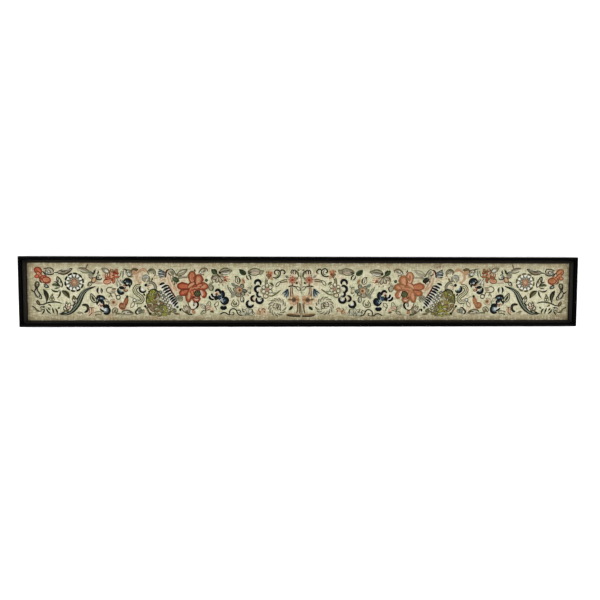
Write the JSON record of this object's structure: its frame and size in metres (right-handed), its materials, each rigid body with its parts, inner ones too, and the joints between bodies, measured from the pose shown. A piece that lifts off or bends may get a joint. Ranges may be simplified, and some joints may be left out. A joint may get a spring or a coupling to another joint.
{
  "type": "framed silk embroidery",
  "caption": "Long narrow panel of embroidered silk bands, mounted flat in a slim black moulded frame with a plain backing board.",
  "frame": {"origin": "centre of the back, on the plane that the frame's back lies on", "axes": "+X along the length towards the right end, +Y towards the upper edge of the picture, +Z out of its face"},
  "size_m": [0.97, 0.122, 0.018],
  "materials": {
    "frame_lacquer": "satin black lacquer, worn at the corners",
    "embroidered_silk": "aged cream silk with coloured satin stitch and couched outlines",
    "backing": "matte brown hardboard"
  },
  "bodies": {
    "root": {"frame_top_rail": "frame_lacquer", "frame_bottom_rail": "frame_lacquer", "frame_left_stile": "frame_lacquer", "frame_right_stile": "frame_lacquer", "silk_band_left": "embroidered_silk", "silk_band_right": "embroidered_silk", "backing_board": "backing"}
  },
  "joints": []
}
